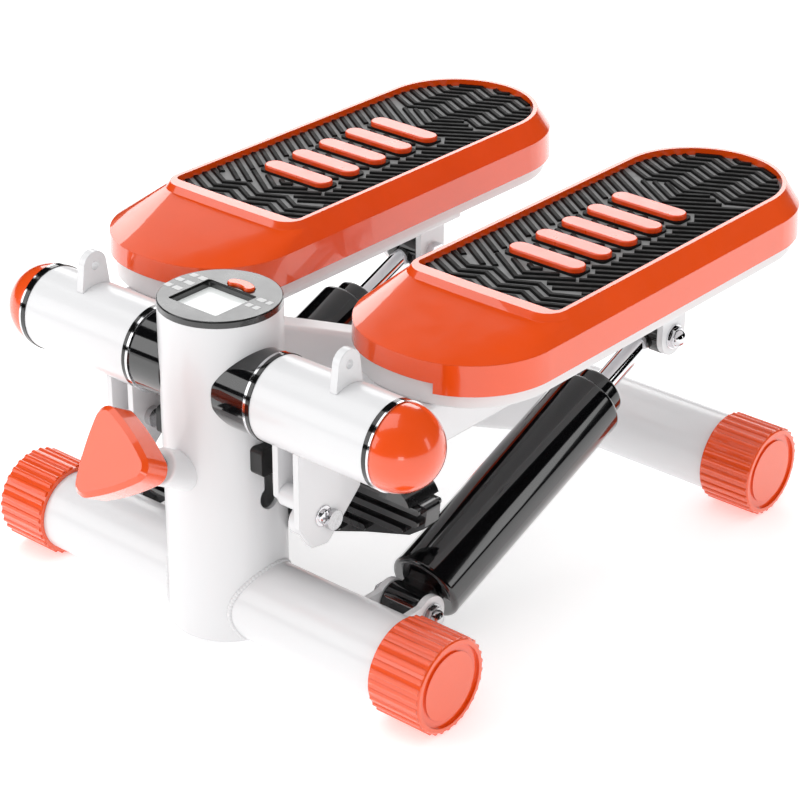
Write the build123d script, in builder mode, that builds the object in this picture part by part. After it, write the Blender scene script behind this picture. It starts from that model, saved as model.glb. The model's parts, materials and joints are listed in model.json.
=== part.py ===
"""Mini stepper: two coupled pedals on a low frame, each damped by a hydraulic cylinder.

Millimetres, +X to the right of the person standing on it, +Y from the column to the heels, +Z up.
The origin is on the floor, under the middle of the machine's overall length and width.
"""
from build123d import *
from math import atan2, cos, hypot, radians, sin, sqrt
import os

os.makedirs("parts", exist_ok=True)

SIDES = ((1, "right"), (-1, "left"))

# Frame
front_y = -141.94
rear_y = front_y + 318
tube_radius = 25.0
tube_wall = 2.0
cap_radius = 28.7
cap_length = 35.5
half_width = 166.0
cap_end = 4.0
axle_z = cap_radius

# Column
column_radius = 34.8
column_wall = 2.5
column_bottom = 10.0
column_top = 207.7
beam_width = 30.0
beam_depth = 50.0
beam_wall = 2.5
beam_slope = 24.6

# Pedal pivot
pivot_y = front_y - 4.8
pivot_z = 166.6
shaft_radius = 10.0
hub_radius = 25.0
hub_wall = 2.5
hub_inner_x = 44.2
hub_outer_x = 133.0
ring_width = 4.4
running_gap = 0.05
body_gap = 0.3

# Pedal
pedal_x = 96.25
heel_y = front_y + 322
tray_bottom = 168.0
skirt_bottom = 177.0
ridge_z = 195.0
face_z = 203.6
rim_z = 207.5
mat_floor_z = 201.5
mat_top_z = 204.5
pedal_half = 61.5
nose_y = front_y + 34.7
nose_radius = 100.0
nose_corner = 55.0
toe_y = front_y + 102.0
toe_radius = 2000.0
toe_corner = 13.0
rim_half = 53.0
rim_width = 2.8
nose_strip = 5.5
mat_corner = 4.5
shell_wall = 2.6
arm_width = 44.0
arm_bottom = 140.0
arm_wall = 2.5
arm_end_y = front_y + 300

# Hydraulic cylinder, between its lower eye on the frame and its upper eye under the pedal
lower_eye_y = front_y + 47.0
lower_eye_z = 29.5
upper_eye_y = front_y + 278.0
upper_eye_z = 121.0
eye_radius = 11.5
eye_drop = 1.35  # how far the upper eye hangs below its bolt: the middle of its play
eye_width = 23.4
eye_pin_radius = 5.0
fork_inside = 25.0
fork_plate = 4.0
fork_radius = 12.0
clevis_half_height = 9.0
barrel_radius = 23.0
barrel_bore = 19.0
barrel_start = 14.0
barrel_end = 180.0
gland_end = 192.0
rod_radius = 7.0

# Rocker under the pedal arms
rocker_y = front_y + 56.0
rocker_z = 78.0
rocker_top = 96.0
rocker_thick = 12.0
rib_depth = 4.0
rocker_pin_radius = 6.0
pad_crown = 12.0
pad_top = 104.2
foot_radius = 8.0
foot_x = 88.0

# Adjuster, on an axis that rises towards the user
adjuster_slope = 30.0
adjuster_z = 97.0
boss_radius = 10.8
boss_end = 58.0
screw_radius = 5.0
knob_back = 81.5
knob_front = 102.5
knob_reach = 33.0
knob_corner = 8.5

# Display
bezel_thick = 4.0
window = (34.0, 30.0)
window_centre = (-1.0, front_y - 4.6)
button_centre = (1.0, front_y + 17.5)
button_length = 18.5
button_width = 6.5


def save(piece, node):
    """Label a finished piece and write it."""
    piece.part.label = node
    export_step(piece.part, f"parts/{node}.step")


def x_cylinder(x_from, x_to, y, z, radius, mode=Mode.ADD):
    """A round bar along X between two stations."""
    with BuildSketch(Plane.YZ.offset(x_from)) as disc:
        with Locations((y, z)):
            Circle(radius)
    extrude(disc.sketch, amount=x_to - x_from, mode=mode)


def side_plate(x_from, x_to, points, radius):
    """A flat plate in a YZ plane, from its outline's corners, all rounded alike."""
    with BuildSketch(Plane.YZ.offset(x_from)) as outline:
        with BuildLine():
            Polyline(*points, close=True)
        make_face()
        fillet(outline.vertices(), radius)
    extrude(outline.sketch, amount=x_to - x_from)


def spans(centre, inside, plate):
    """The X stations of a fork's two plates."""
    half = inside / 2
    return ((centre - half - plate, centre - half), (centre + half, centre + half + plate))


def foot_outline(z, centre_x, half, tip_y, corner, front_radius):
    """A pedal outline at height z: crowned toe end, round corners, straight sides, round heel."""
    crown = Vector(0, tip_y + front_radius)
    corner_y = crown.Y - sqrt((front_radius - corner) ** 2 - (half - corner) ** 2)
    corner_c = Vector(half - corner, corner_y)
    touch = crown + (corner_c - crown).normalized() * front_radius
    bend = atan2(touch.Y - corner_c.Y, touch.X - corner_c.X) / 2
    middle = corner_c + Vector(cos(bend), sin(bend)) * corner
    with BuildSketch(Plane.XY.offset(z)) as outline:
        with BuildLine():
            Line((centre_x - half, corner_y), (centre_x - half, heel_y))
            ThreePointArc((centre_x - half, heel_y), (centre_x, heel_y + half), (centre_x + half, heel_y))
            Line((centre_x + half, heel_y), (centre_x + half, corner_y))
            ThreePointArc((centre_x + half, corner_y), (centre_x + middle.X, middle.Y),
                          (centre_x + touch.X, touch.Y))
            ThreePointArc((centre_x + touch.X, touch.Y), (centre_x, tip_y), (centre_x - touch.X, touch.Y))
            ThreePointArc((centre_x - touch.X, touch.Y), (centre_x - middle.X, middle.Y),
                          (centre_x - half, corner_y))
        make_face()
    return outline.sketch


def nose_outline(z, centre_x, inset):
    """The pedal's full outline at height z, pulled in by inset."""
    return foot_outline(z, centre_x, pedal_half - inset, nose_y + inset, nose_corner - inset,
                        nose_radius - inset)


def toe_outline(z, centre_x, inset):
    """The outline round the mat at height z, pulled in by inset from the rim's outer edge."""
    return foot_outline(z, centre_x, rim_half - inset, toe_y + inset, toe_corner - inset, toe_radius)


def mat_outline(z, centre_x):
    """The mat's own outline, with a wider strip of shell left in front of its nose end."""
    tip_y = toe_y + rim_width + nose_strip
    return foot_outline(z, centre_x, rim_half - rim_width, tip_y, mat_corner, toe_radius)


# ---------------------------------------------------------------- frame
def crossbar(y):
    """A round cross tube on the floor line."""
    half = half_width - cap_end
    with BuildPart() as tube:
        x_cylinder(-half, half, y, axle_z, tube_radius)
        x_cylinder(-half, half, y, axle_z, tube_radius - tube_wall, Mode.SUBTRACT)
    return tube


def end_cap(side, y):
    """A ribbed foot cap over a cross tube's end, with one rib exactly underneath."""
    rib_count = 30
    rib_radius = 2.0
    lip = 3.0
    rib_inset = 0.8
    core_radius = cap_radius - 1.1
    channel_inner, channel_outer, channel_depth = 20.4, 24.6, 1.6
    start = half_width - cap_length
    face = Plane(origin=(side * half_width, y, axle_z), x_dir=(0, 1, 0), z_dir=(side, 0, 0))
    with BuildPart() as cap:
        with BuildSketch(face.offset(-lip)):
            Circle(core_radius)
        extrude(amount=lip)
        fillet(cap.edges().sort_by(Axis.X)[-1 if side > 0 else 0], 1.0)
        with BuildSketch(face.offset(-cap_length)):
            Circle(core_radius)
        extrude(amount=cap_length - lip)
        with BuildSketch(face.offset(-cap_length + 1.0)):
            with PolarLocations(cap_radius - rib_radius, rib_count, start_angle=-90):
                Circle(rib_radius)
        extrude(amount=cap_length - rib_inset - 1.0)
        with BuildSketch(face):
            Circle(channel_outer)
            Circle(channel_inner, mode=Mode.SUBTRACT)
        extrude(amount=-channel_depth, mode=Mode.SUBTRACT)
        with BuildSketch(face):
            Circle(channel_inner)
        extrude(amount=-0.5, mode=Mode.SUBTRACT)
        x_cylinder(side * (start - 1), side * (half_width - cap_end), y, axle_z, tube_radius, Mode.SUBTRACT)
    return cap


def adjuster_plane(distance):
    """The plane square to the adjuster's axis, at a distance from the column's own axis."""
    slope = radians(adjuster_slope)
    out = Vector(0, -cos(slope), sin(slope))
    origin = Vector(0, front_y, adjuster_z) + out * distance
    return Plane(origin=origin, x_dir=(1, 0, 0), z_dir=out)


def column():
    """The upright tube, saddled on the front cross tube, with slots for the stop blocks."""
    with BuildPart() as tube:
        with BuildSketch(Plane.XY.offset(column_bottom)):
            with Locations((0, front_y)):
                Circle(column_radius)
                Circle(column_radius - column_wall, mode=Mode.SUBTRACT)
        extrude(amount=column_top - column_bottom)
        reach = column_radius + 5
        x_cylinder(-reach, reach, front_y, axle_z, tube_radius, Mode.SUBTRACT)
        x_cylinder(-reach, reach, pivot_y, pivot_z, shaft_radius, Mode.SUBTRACT)
        x_cylinder(-reach, reach, front_y, 98.5, 7.5, Mode.SUBTRACT)
        with BuildSketch(Plane.YZ.offset(-reach)):
            with Locations((front_y, 108.0)):
                Rectangle(9, 20)
        extrude(amount=2 * reach, mode=Mode.SUBTRACT)
        with BuildSketch(adjuster_plane(10)):
            Circle(screw_radius + 1)
        extrude(amount=40, mode=Mode.SUBTRACT)
    return tube


def column_solid():
    """The column's full outside, kept apart for cutting saddles."""
    return Pos(0, front_y, 100) * Cylinder(column_radius, 240, mode=Mode.PRIVATE)


def tube_solid(y):
    """A cross tube's full outside, kept apart for cutting saddles."""
    return Pos(0, y, axle_z) * Rot(0, 90, 0) * Cylinder(tube_radius, 2 * half_width, mode=Mode.PRIVATE)


def beam_plane():
    """The plane square to the sloping beam, on the rear cross tube's axis."""
    slope = radians(beam_slope)
    return Plane(origin=(0, rear_y, axle_z), x_dir=(1, 0, 0), z_dir=(0, -cos(slope), sin(slope)))


def beam_solid():
    """The sloping beam's full outside, kept apart for cutting."""
    return beam_plane() * Pos(0, 0, 170) * Box(beam_width, beam_depth, 340, mode=Mode.PRIVATE)


def centre_beam():
    """The sloping rectangular tube from the column down to the rear cross tube."""
    length = (rear_y - front_y) / cos(radians(beam_slope))
    with BuildPart() as beam:
        with BuildSketch(beam_plane()):
            RectangleRounded(beam_width, beam_depth, 3.5)
            RectangleRounded(beam_width - 2 * beam_wall, beam_depth - 2 * beam_wall, 1.0, mode=Mode.SUBTRACT)
        extrude(amount=length)
        add(column_solid(), mode=Mode.SUBTRACT)
        add(tube_solid(rear_y), mode=Mode.SUBTRACT)
        with BuildSketch(Plane.XY.offset(-1)):
            with Locations((0, front_y - 100 + 20)):
                Rectangle(200, 200)
        extrude(amount=260, mode=Mode.SUBTRACT)
    return beam


def cylinder_clevis(side):
    """Two plates behind the front cross tube that hold a cylinder's lower eye."""
    with BuildPart() as clevis:
        for x_from, x_to in spans(side * pedal_x, fork_inside, fork_plate):
            with BuildSketch(Plane.YZ.offset(x_from)):
                with Locations((lower_eye_y, lower_eye_z)):
                    Circle(fork_radius)
                with Locations(((front_y + lower_eye_y) / 2, lower_eye_z)):
                    Rectangle(lower_eye_y - front_y, 2 * clevis_half_height)
                with Locations((lower_eye_y, lower_eye_z)):
                    Circle(eye_pin_radius, mode=Mode.SUBTRACT)
            extrude(amount=x_to - x_from)
        add(tube_solid(front_y), mode=Mode.SUBTRACT)
    return clevis


def cross_bolts(centres, y, z):
    """Pins across forks, each with a hexagon head inboard and a domed nut outboard."""
    half = fork_inside / 2 + fork_plate
    with BuildPart() as bolts:
        for centre_x in centres:
            outward = 1 if centre_x > 0 else -1
            nut = centre_x + outward * half
            x_cylinder(centre_x - half, centre_x + half, y, z, eye_pin_radius)
            x_cylinder(nut, nut + outward * 1.2, y, z, 8.0)
            for start, reach, radius in ((centre_x - outward * half, -5.0, 8.0),
                                         (nut + outward * 1.2, 2.6, 6.8)):
                with BuildSketch(Plane.YZ.offset(start)) as hexagon:
                    with Locations((y, z)):
                        RegularPolygon(radius, 6)
                extrude(hexagon.sketch, amount=outward * reach)
            with BuildSketch(Plane(origin=(nut, y, z), x_dir=(1, 0, 0), z_dir=(0, -1, 0))) as half_dome:
                with BuildLine():
                    Line((outward * 3.8, 0), (outward * 8.4, 0))
                    ThreePointArc((outward * 8.4, 0), (outward * 7.2, 3.6), (outward * 3.8, 5.2))
                    Line((outward * 3.8, 5.2), (outward * 3.8, 0))
                make_face()
            revolve(half_dome.sketch, axis=Axis((nut, y, z), (1, 0, 0)))
    return bolts


def pivot_shaft():
    """The one shaft through the column that both pedals turn on."""
    with BuildPart() as shaft:
        x_cylinder(-140, 140, pivot_y, pivot_z, shaft_radius)
        for end in (-1, 1):
            with BuildSketch(Plane.YZ.offset(end * 133)):
                with Locations((pivot_y, pivot_z)):
                    Circle(shaft_radius + 1)
                    Circle(shaft_radius - 1.5, mode=Mode.SUBTRACT)
            extrude(amount=end * 8, mode=Mode.SUBTRACT)
    return shaft


def shaft_nuts():
    """The two nuts that hold the pedal hubs on the shaft's threaded ends."""
    with BuildPart() as nuts:
        for end in (-1, 1):
            with BuildSketch(Plane.YZ.offset(end * (hub_outer_x - ring_width + 2 * body_gap))):
                with Locations((pivot_y, pivot_z)):
                    Circle(15)
                    Circle(shaft_radius, mode=Mode.SUBTRACT)
            extrude(amount=end * 3.6)
            with BuildSketch(Plane.YZ.offset(end * 133)):
                with Locations((pivot_y, pivot_z)):
                    RegularPolygon(13.5, 6)
                    Circle(shaft_radius - 1.5, mode=Mode.SUBTRACT)
            extrude(amount=end * 6.5)
    return nuts


def pivot_collars():
    """Black spacer drums between the column and the hubs."""
    with BuildPart() as collars:
        for end in (-1, 1):
            x_cylinder(end * 20, end * (hub_inner_x - body_gap), pivot_y, pivot_z, hub_radius - 0.4)
        add(column_solid(), mode=Mode.SUBTRACT)
        x_cylinder(-60, 60, pivot_y, pivot_z, shaft_radius, Mode.SUBTRACT)
    return collars


def kidney(plane, grow):
    """The reset button's bent bar outline."""
    x, y = button_centre
    half = button_length / 2 - button_width / 2
    with BuildSketch(plane) as outline:
        with BuildLine(mode=Mode.PRIVATE) as spine:
            ThreePointArc((x - half, y - 1.6), (x, y), (x + half, y - 1.6))
        SlotArc(arc=spine.edges()[0], height=button_width + 2 * grow)
    return outline.sketch


def display_bezel():
    """The round display housing on the column, with its window and button hole."""
    with BuildPart() as bezel:
        with BuildSketch(Plane.XY.offset(column_top)):
            with Locations((0, front_y)):
                Circle(column_radius)
        extrude(amount=bezel_thick)
        fillet(bezel.edges().group_by(Axis.Z)[-1], 0.8)
        with BuildSketch(Plane.XY.offset(column_top)):
            with Locations((0, front_y)):
                Circle(column_radius - column_wall)
                Circle(column_radius - column_wall - 2.0, mode=Mode.SUBTRACT)
        extrude(amount=-8)
        with BuildSketch(Plane.XY.offset(column_top)):
            with Locations(window_centre):
                RectangleRounded(window[0], window[1], 1.0)
        extrude(amount=bezel_thick, mode=Mode.SUBTRACT)
        with BuildSketch(Plane.XY.offset(column_top + bezel_thick)):
            with Locations(window_centre):
                RectangleRounded(window[0] + 2.4, window[1] + 2.4, 1.6)
        extrude(amount=-1.0, mode=Mode.SUBTRACT)
        extrude(kidney(Plane.XY.offset(column_top), body_gap), amount=bezel_thick, mode=Mode.SUBTRACT)
    return bezel


def display_screen():
    """The display's clear window plate, under the bezel."""
    with BuildPart() as screen:
        with BuildSketch(Plane.XY.offset(column_top - 1.6)):
            with Locations(window_centre):
                RectangleRounded(window[0] + 3, window[1] + 1.2, 1.0)
        extrude(amount=1.6)
    return screen


def display_board():
    """The counter's circuit board with its button cell, held under the screen."""
    with BuildPart() as board:
        with BuildSketch(Plane.XY.offset(column_top - 5.2)):
            with Locations((0, front_y)):
                Circle(29.0)
        extrude(amount=1.6)
        with BuildSketch(Plane.XY.offset(column_top - 3.6)):
            with Locations(window_centre):
                Rectangle(30, 26)
        extrude(amount=2.0)
        with BuildSketch(Plane.XY.offset(column_top - 5.2)):
            with Locations((-8, front_y - 6)):
                Circle(10)
        extrude(amount=-3.4)
        with BuildSketch(Plane.XY.offset(column_top - 5.2)):
            with Locations((14, front_y + 4)):
                Rectangle(9, 12)
        extrude(amount=-7.0)
    return board


def reset_button():
    """The bent bar button beside the window, with a flange that keeps it in."""
    with BuildPart() as button:
        extrude(kidney(Plane.XY.offset(column_top - body_gap), 0), amount=bezel_thick + 1.6 + body_gap)
        fillet(button.edges().group_by(Axis.Z)[-1], 0.7)
        extrude(kidney(Plane.XY.offset(column_top - body_gap), 0.7), amount=-1.0)
    return button


def stop_blocks():
    """Rubber blocks on the column's sides, above the adjuster slots."""
    with BuildPart() as blocks:
        for side in (-1, 1):
            with BuildSketch(Plane.YZ.offset(side * 28)):
                with Locations((front_y - 3.0, 126.0)):
                    RectangleRounded(20, 17, 3)
            extrude(amount=side * 13)
        add(column_solid(), mode=Mode.SUBTRACT)
    return blocks


# ---------------------------------------------------------------- adjuster
def knob_boss():
    """The threaded boss on the column's front."""
    with BuildPart() as boss:
        with BuildSketch(adjuster_plane(15)):
            Circle(boss_radius)
        extrude(amount=boss_end - 15)
        fillet(boss.edges().group_by(Axis.Y)[0], 1.5)
        add(column_solid(), mode=Mode.SUBTRACT)
        with BuildSketch(adjuster_plane(10)):
            Circle(screw_radius + running_gap)
        extrude(amount=boss_end, mode=Mode.SUBTRACT)
    return boss


def knob_screw():
    """The adjuster's screw, with its thrust disc inside the column."""
    with BuildPart() as screw:
        with BuildSketch(adjuster_plane(12)):
            Circle(screw_radius)
        extrude(amount=knob_back + 6 - 12)
        with BuildSketch(adjuster_plane(9)):
            Circle(9)
        extrude(amount=3)
        with BuildSketch(adjuster_plane(boss_end + 6)):
            Circle(8.5)
        extrude(amount=knob_back - boss_end - 6)
    return screw


def knob():
    """The three-cornered hand knob."""
    bulge = 3.0
    corners = [Vector(knob_reach * cos(a), knob_reach * sin(a))
               for a in (radians(2), radians(122), radians(242))]
    with BuildPart() as grip:
        with BuildSketch(adjuster_plane(knob_back)) as outline:
            with BuildLine():
                for here, there in zip(corners, corners[1:] + corners[:1]):
                    middle = (here + there) / 2
                    ThreePointArc(here, middle + middle.normalized() * bulge, there)
            make_face()
            fillet(outline.vertices(), knob_corner)
        extrude(amount=knob_front - knob_back)
        front = grip.faces().sort_by(Axis.Y)[0]
        chamfer(front.edges(), 2.6)
        back = grip.faces().sort_by(Axis.Y)[-1]
        fillet(back.edges(), 1.5)
        with BuildSketch(adjuster_plane(knob_back)):
            Circle(screw_radius)
        extrude(amount=6, mode=Mode.SUBTRACT)
    return grip


# ---------------------------------------------------------------- rocker
def rocker_beam():
    """The see-saw under both pedal arms, deep in the middle, with lengthwise ribs."""
    right = ((24, 50), (62, 64), (94, 74), (105, 82))
    left = [(-x, z) for x, z in reversed(right)]
    front = Plane.XZ.offset(-(rocker_y - rocker_thick / 2))
    with BuildPart() as beam:
        with BuildSketch(front) as outline:
            with BuildLine():
                Polyline(*right, (107, rocker_top), (-107, rocker_top), *left, close=True)
            make_face()
            fillet(outline.vertices(), 3)
        extrude(amount=-rocker_thick)
        for rib_z, rib_half in ((rocker_top - 3, 104), (rocker_top - 11, 103), (rocker_top - 19, 92),
                                (rocker_top - 27, 64), (rocker_top - 35, 44), (rocker_top - 43, 24)):
            for plane, depth in ((front, rib_depth), (front.offset(-rocker_thick), -rib_depth)):
                with BuildSketch(plane):
                    with Locations((0, rib_z)):
                        RectangleRounded(2 * rib_half, 4, 1.5)
                extrude(amount=depth)
        with BuildSketch(front.offset(rib_depth)):
            with Locations((0, rocker_z)):
                Circle(14)
        extrude(amount=-rocker_thick - 2 * rib_depth)
        with BuildSketch(front.offset(rib_depth)):
            with Locations((0, rocker_z)):
                Circle(rocker_pin_radius + running_gap)
        extrude(amount=-rocker_thick - 2 * rib_depth, mode=Mode.SUBTRACT)
    return beam


def rocker_pads():
    """Crowned pads on the rocker's ends, which carry the feet of the pedal arms."""
    with BuildPart() as pads:
        for side in (-1, 1):
            with BuildSketch(Plane.XZ.offset(-(rocker_y - 13))):
                with Locations((side * foot_x, pad_top - pad_crown)):
                    Circle(pad_crown)
                with Locations((side * foot_x, rocker_top - pad_crown)):
                    Rectangle(3 * pad_crown, 2 * pad_crown, mode=Mode.SUBTRACT)
            extrude(amount=-26)
    return pads


def rocker_bracket():
    """The rocker's support: a block on the column and a plate hung from the beam."""
    front_face = rocker_y - rocker_thick / 2 - rib_depth - body_gap
    rear_face = rocker_y + rocker_thick / 2 + rib_depth + body_gap
    with BuildPart() as bracket:
        with BuildSketch(Plane.XZ.offset(-front_face)):
            with Locations((0, rocker_z)):
                RectangleRounded(30, 36, 6)
        extrude(amount=24)
        with BuildSketch(Plane.XZ.offset(-rear_face)):
            with Locations((0, rocker_z + 18)):
                RectangleRounded(28, 72, 6)
        extrude(amount=-6)
        add(column_solid(), mode=Mode.SUBTRACT)
        add(beam_solid(), mode=Mode.SUBTRACT)
        with BuildSketch(Plane.XZ.offset(-front_face + 20)):
            with Locations((0, rocker_z)):
                Circle(rocker_pin_radius)
        extrude(amount=-60, mode=Mode.SUBTRACT)
    return bracket


def rocker_pin():
    """The pin the rocker swings on, with a head behind the hung plate."""
    rear_face = rocker_y + rocker_thick / 2 + rib_depth + body_gap + 6
    with BuildPart() as pin:
        with BuildSketch(Plane.XZ.offset(-(front_y + column_radius + 1))):
            with Locations((0, rocker_z)):
                Circle(rocker_pin_radius)
        extrude(amount=-(rear_face - front_y - column_radius - 1))
        with BuildSketch(Plane.XZ.offset(-rear_face)):
            with Locations((0, rocker_z)):
                RegularPolygon(10, 6)
        extrude(amount=-5)
    return pin


# ---------------------------------------------------------------- pedals
def hub_tube(side):
    """The tube that carries a pedal arm round the pivot shaft."""
    start = side * (hub_inner_x + ring_width)
    end = side * (hub_outer_x - ring_width)
    with BuildPart() as tube:
        x_cylinder(start, end, pivot_y, pivot_z, hub_radius)
        x_cylinder(start, end, pivot_y, pivot_z, hub_radius - hub_wall, Mode.SUBTRACT)
    return tube


def hub_rings(side):
    """Trim rings on both ends of a hub tube."""
    with BuildPart() as rings:
        for x in (hub_inner_x, hub_outer_x - ring_width):
            with BuildSketch(Plane.YZ.offset(side * x)):
                with Locations((pivot_y, pivot_z)):
                    Circle(hub_radius + 0.5)
                    Circle(hub_radius - hub_wall, mode=Mode.SUBTRACT)
            extrude(amount=side * ring_width)
    return rings


def hub_bushes(side):
    """Two plain bushes that run on the shaft, one in each end of the hub tube."""
    length = 14.0
    start = hub_inner_x + ring_width
    end = hub_outer_x - ring_width - length
    with BuildPart() as bushes:
        for x in (start, end):
            with BuildSketch(Plane.YZ.offset(side * x)):
                with Locations((pivot_y, pivot_z)):
                    Circle(hub_radius - hub_wall)
                    Circle(shaft_radius + running_gap, mode=Mode.SUBTRACT)
            extrude(amount=side * length)
    return bushes


def dome_arc(side, rise, radius):
    """Half the dome's section: a quarter round from the rim to the axis, with its two straight sides."""
    base = side * hub_outer_x
    middle = sqrt(0.5)
    ThreePointArc((base + side * rise, 0), (base + side * rise * middle, radius * middle), (base, radius))
    Line((base, radius), (base, 0))
    Line((base, 0), (base + side * rise, 0))


def hub_dome(side):
    """The hollow round cover over a hub's outer end."""
    rise, radius, wall = 25.0, hub_radius - 0.3, 2.2
    with BuildPart() as dome:
        with BuildSketch(Plane(origin=(0, pivot_y, pivot_z), x_dir=(1, 0, 0), z_dir=(0, -1, 0))):
            with BuildLine():
                dome_arc(side, rise, radius)
            make_face()
            with BuildLine():
                dome_arc(side, rise - wall, radius - wall)
            make_face(mode=Mode.SUBTRACT)
        revolve(axis=Axis((0, pivot_y, pivot_z), (1, 0, 0)))
    return dome


def band_ear(side):
    """The drilled ear on top of a hub, for a pull band's hook."""
    hole_z = 203.4
    with BuildPart() as ear:
        with BuildSketch(Plane.YZ.offset(side * pedal_x - 2.5)):
            with Locations((pivot_y, hole_z)):
                Circle(8.5)
            with BuildLine():
                Polyline((pivot_y - 12, pivot_z + 12), (pivot_y - 8.3, hole_z + 2),
                         (pivot_y + 8.3, hole_z + 2), (pivot_y + 12, pivot_z + 12), close=True)
            make_face()
            with Locations((pivot_y, hole_z)):
                Circle(2.6, mode=Mode.SUBTRACT)
        extrude(amount=5)
        x_cylinder(side * (pedal_x - 10), side * (pedal_x + 10), pivot_y, pivot_z, hub_radius, Mode.SUBTRACT)
    return ear


def stop_lug(side):
    """Two cheeks and a roller block under a hub, which meet the adjuster's stop."""
    outer = ((-19, 150), (-19, 100), (-9, 84), (4, 82), (31, 107), (31, 116), (12, 150))
    inner = ((-18, 150), (-18, 114), (-12, 107), (2, 107), (10, 118), (12, 150))
    with BuildPart() as lug:
        for (x_from, x_to), outline in (((54, 58), inner), ((70, 74), outer)):
            side_plate(side * x_from, side * x_to, [(front_y + y, z) for y, z in outline], 2.5)
        x_cylinder(side * 58, side * 70, front_y - 12, 114, 6.5)
        x_cylinder(side * 62, side * 70, front_y - 6, 98, 9)
        x_cylinder(side * 40, side * 90, pivot_y, pivot_z, hub_radius, Mode.SUBTRACT)
    return lug


def pedal_arm(side):
    """The box arm from the hub to the heel, with the foot that rests on the rocker."""
    with BuildPart() as arm:
        height = tray_bottom - arm_bottom
        with BuildSketch(Plane.XZ.offset(-pivot_y)):
            with Locations((side * pedal_x, arm_bottom + height / 2)):
                RectangleRounded(arm_width, height, 3)
        extrude(amount=-(arm_end_y - pivot_y))
        foot_z = pad_top + body_gap + foot_radius
        with BuildSketch(Plane.YZ.offset(side * foot_x - 9)):
            with Locations((rocker_y, foot_z)):
                Circle(foot_radius)
            with Locations((rocker_y, (foot_z + arm_bottom) / 2 + 2)):
                Rectangle(2 * foot_radius, arm_bottom - foot_z + 4)
        extrude(amount=18)
        with BuildSketch(Plane.XZ.offset(-pivot_y - hub_radius - 4)):
            with Locations((side * pedal_x, arm_bottom + height / 2)):
                RectangleRounded(arm_width - 2 * arm_wall, height - 2 * arm_wall, 1)
        extrude(amount=-(arm_end_y - pivot_y), mode=Mode.SUBTRACT)
        x_cylinder(side * (pedal_x - 40), side * (pedal_x + 40), pivot_y, pivot_z, hub_radius, Mode.SUBTRACT)
    return arm


def shock_bracket(side):
    """The fork under the arm's end that holds a cylinder's upper eye."""
    with BuildPart() as bracket:
        for x_from, x_to in spans(side * pedal_x, fork_inside, fork_plate):
            with BuildSketch(Plane.YZ.offset(x_from)):
                with Locations((upper_eye_y, upper_eye_z)):
                    Circle(fork_radius)
                with Locations((upper_eye_y, (upper_eye_z + arm_bottom) / 2)):
                    Rectangle(2 * fork_radius, arm_bottom - upper_eye_z)
                with Locations((upper_eye_y, upper_eye_z)):
                    Circle(eye_pin_radius, mode=Mode.SUBTRACT)
            extrude(amount=x_to - x_from)
        with BuildSketch(Plane.XY.offset(arm_bottom)):
            with Locations((side * pedal_x, upper_eye_y)):
                Rectangle(fork_inside + 2 * fork_plate, 2 * fork_radius)
        extrude(amount=-3)
    return bracket


def screw_places(side):
    """Where the shell is screwed to the tray."""
    return [(side * pedal_x + x, front_y + y) for x in (-40, 40) for y in (130, 296)]


def pedal_tray(side):
    """The open pan under a pedal's shell."""
    inset = shell_wall + 0.4
    with BuildPart() as tray:
        extrude(nose_outline(tray_bottom, side * pedal_x, inset), amount=20)
        fillet(tray.edges().group_by(Axis.Z)[0], 1.2)
        extrude(nose_outline(tray_bottom + 2.2, side * pedal_x, inset + 2.0), amount=20, mode=Mode.SUBTRACT)
        with BuildSketch(Plane.XY.offset(tray_bottom)):
            with Locations(*screw_places(side)):
                Circle(2.6)
        extrude(amount=4, mode=Mode.SUBTRACT)
    return tray


def pedal_shell(side):
    """The pedal's upper cover: skirt, bevel, long nose and rim; the same moulding on both sides."""
    x = side * pedal_x
    with BuildPart() as shell:
        loft([nose_outline(skirt_bottom, x, -0.8), nose_outline(ridge_z, x, 0)], ruled=True)
        loft([nose_outline(ridge_z, x, 0), toe_outline(face_z, x, -2.65)], ruled=True)
        loft([toe_outline(face_z, x, -2.65), toe_outline(rim_z, x, 0)], ruled=True)
        cavity_top = ridge_z - 1.5
        extrude(nose_outline(skirt_bottom, x, shell_wall), amount=cavity_top - skirt_bottom,
                mode=Mode.SUBTRACT)
        extrude(toe_outline(cavity_top, x, 4.0), amount=mat_floor_z - 2.5 - cavity_top, mode=Mode.SUBTRACT)
        extrude(mat_outline(mat_floor_z, x), amount=rim_z - mat_floor_z + 1, mode=Mode.SUBTRACT)
        with BuildSketch(Plane.XY.offset(skirt_bottom - 1)):
            with Locations((x - 23, nose_y + 14)):
                Rectangle(94, 72)
        extrude(amount=7, mode=Mode.SUBTRACT)
        with BuildSketch(Plane.XY.offset(tray_bottom + 2.2)):
            with Locations(*screw_places(side)):
                Circle(5)
        extrude(amount=mat_floor_z - 1 - tray_bottom - 2.2)
        with BuildSketch(Plane.XY.offset(tray_bottom + 2.2)):
            with Locations(*screw_places(side)):
                Circle(2.0)
        extrude(amount=12, mode=Mode.SUBTRACT)
    return shell


def pedal_mat(side):
    """The rubber mat let into the shell, at its full outer size."""
    with BuildPart() as mat:
        extrude(mat_outline(mat_floor_z, side * pedal_x), amount=mat_top_z - mat_floor_z)
        extrude(bar_outlines(side), amount=mat_top_z - mat_floor_z, mode=Mode.SUBTRACT)
    return mat


def bar_outlines(side):
    """Five round-ended bars across the middle of the mat."""
    bar_length, bar_width, pitch = 52.0, 13.0, 25.0
    with BuildSketch(Plane.XY.offset(mat_floor_z)) as bars:
        for step in range(5):
            with Locations((side * pedal_x, front_y + 168 + step * pitch)):
                SlotOverall(bar_length, bar_width)
    return bars.sketch


def grip_bars(side):
    """The raised grip bars that stand through the mat."""
    with BuildPart() as bars:
        extrude(bar_outlines(side), amount=rim_z - mat_floor_z)
        fillet(bars.edges().group_by(Axis.Z)[-1], 1.0)
    return bars


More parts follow.
